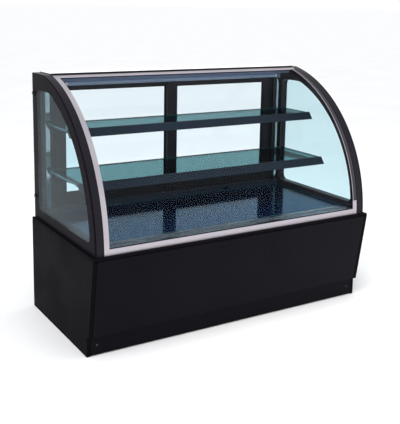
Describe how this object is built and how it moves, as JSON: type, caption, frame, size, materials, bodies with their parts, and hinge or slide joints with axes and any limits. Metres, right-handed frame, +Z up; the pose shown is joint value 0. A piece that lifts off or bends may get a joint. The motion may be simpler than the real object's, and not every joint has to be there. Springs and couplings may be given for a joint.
{
  "type": "refrigerated glass display showcase",
  "caption": "Counter display showcase: curved glass canopy with shelves and sliding rear doors on a dark base that holds the cooling unit.",
  "frame": {"origin": "on the floor, under the middle of the cabinet's footprint", "axes": "+X along the counter to the customer's right, -Y towards the customer, +Z up"},
  "size_m": [1.5, 0.73, 1.155],
  "materials": {
    "cabinet_black": "satin powder coat",
    "cabinet_gloss": "gloss laminate",
    "frame_steel": "primed square tube",
    "galvanised": "galvanised sheet",
    "stainless": "brushed",
    "deck_steel": "mirror polished",
    "anodised_dark": "satin anodised",
    "anodised_silver": "satin anodised",
    "top_white": "gloss white",
    "chrome": "polished",
    "rubber_black": "matt",
    "glass_clear": "polished",
    "glass_shelf": "polished, green edge",
    "diffuser": "opal",
    "copper": "drawn copper",
    "fins": "fin stock",
    "plastic_black": "moulded",
    "plastic_red": "moulded",
    "plastic_grey": "moulded",
    "nylon": "moulded",
    "compressor_black": "gloss enamel"
  },
  "bodies": {
    "cabinet": {"base_frame": "frame_steel", "floor_pan": "galvanised", "levelling_feet": "galvanised", "side_panel_left": "cabinet_black", "side_panel_right": "cabinet_black", "front_panel": "cabinet_gloss", "kick_plate": "cabinet_black", "base_cap": "cabinet_black", "service_panel": "cabinet_black", "panel_screws": "chrome", "well_floor": "stainless", "well_walls": "stainless", "evaporator_coil": "fins", "evaporator_fan_plate": "stainless", "fan_motors": "galvanised", "compressor": "compressor_black", "condenser_coil": "fins", "condenser_shroud": "galvanised", "refrigerant_lines": "copper", "drip_tray": "galvanised", "control_plate": "plastic_black", "controller_body": "plastic_black", "switch_housing": "plastic_black", "cable_gland": "plastic_black", "side_frame_left": "anodised_dark", "side_frame_right": "anodised_dark", "side_glass_left": "glass_clear", "side_glass_right": "glass_clear", "side_knobs": "chrome", "glass_seals": "rubber_black", "front_glass": "glass_clear", "trim_left": "anodised_silver", "trim_right": "anodised_silver", "trim_bottom": "anodised_silver", "trim_top": "anodised_silver", "top_panel": "top_white", "light_housing": "anodised_silver", "light_tube": "diffuser", "rear_header": "anodised_dark", "rear_sill": "anodised_dark", "rear_posts": "anodised_dark", "shelf_uprights": "anodised_dark", "shelf_brackets": "anodised_dark", "shelf_lower_glass": "glass_shelf", "shelf_upper_glass": "glass_shelf", "shelf_rails": "anodised_dark", "deck_panel": "deck_steel", "air_grille": "stainless"},
    "door_left": {"door_left_frame": "anodised_dark", "door_left_glass": "glass_clear", "door_left_shoes": "nylon"},
    "door_right": {"door_right_frame": "anodised_dark", "door_right_glass": "glass_clear", "door_right_shoes": "nylon"},
    "evaporator_fan_left": {"evaporator_fan_left": "plastic_black"},
    "evaporator_fan_right": {"evaporator_fan_right": "plastic_black"},
    "condenser_fan": {"condenser_fan": "plastic_black"},
    "button_set": {"button_set": "plastic_grey"},
    "button_up": {"button_up": "plastic_grey"},
    "button_down": {"button_down": "plastic_grey"},
    "power_rocker": {"power_rocker": "plastic_red"},
    "light_rocker": {"light_rocker": "plastic_black"}
  },
  "joints": [
    {"name": "door_left_slide", "type": "slide", "parent": "cabinet", "child": "door_left", "axis": [1, 0, 0], "range_m": [0, 0.6]},
    {"name": "door_right_slide", "type": "slide", "parent": "cabinet", "child": "door_right", "axis": [-1, 0, 0], "range_m": [0, 0.6]},
    {"name": "evaporator_fan_left_spin", "type": "hinge", "parent": "cabinet", "child": "evaporator_fan_left", "pos_m": [-0.3, 0.173, 0.369], "axis": [0, 1, 0], "continuous": true},
    {"name": "evaporator_fan_right_spin", "type": "hinge", "parent": "cabinet", "child": "evaporator_fan_right", "pos_m": [0.3, 0.173, 0.369], "axis": [0, 1, 0], "continuous": true},
    {"name": "condenser_fan_spin", "type": "hinge", "parent": "cabinet", "child": "condenser_fan", "pos_m": [0.32, 0.239, 0.156], "axis": [0, 1, 0], "continuous": true},
    {"name": "button_set_press", "type": "slide", "parent": "cabinet", "child": "button_set", "axis": [0, -1, 0], "range_m": [0, 0.001], "stiffness_N_per_m": 300},
    {"name": "button_up_press", "type": "slide", "parent": "cabinet", "child": "button_up", "axis": [0, -1, 0], "range_m": [0, 0.001], "stiffness_N_per_m": 300},
    {"name": "button_down_press", "type": "slide", "parent": "cabinet", "child": "button_down", "axis": [0, -1, 0], "range_m": [0, 0.001], "stiffness_N_per_m": 300},
    {"name": "power_rocker_tilt", "type": "hinge", "parent": "cabinet", "child": "power_rocker", "pos_m": [-0.515, 0.3355, 0.213], "axis": [1, 0, 0], "range_deg": [0, 14]},
    {"name": "light_rocker_tilt", "type": "hinge", "parent": "cabinet", "child": "light_rocker", "pos_m": [-0.489, 0.3355, 0.213], "axis": [1, 0, 0], "range_deg": [0, 14]}
  ]
}
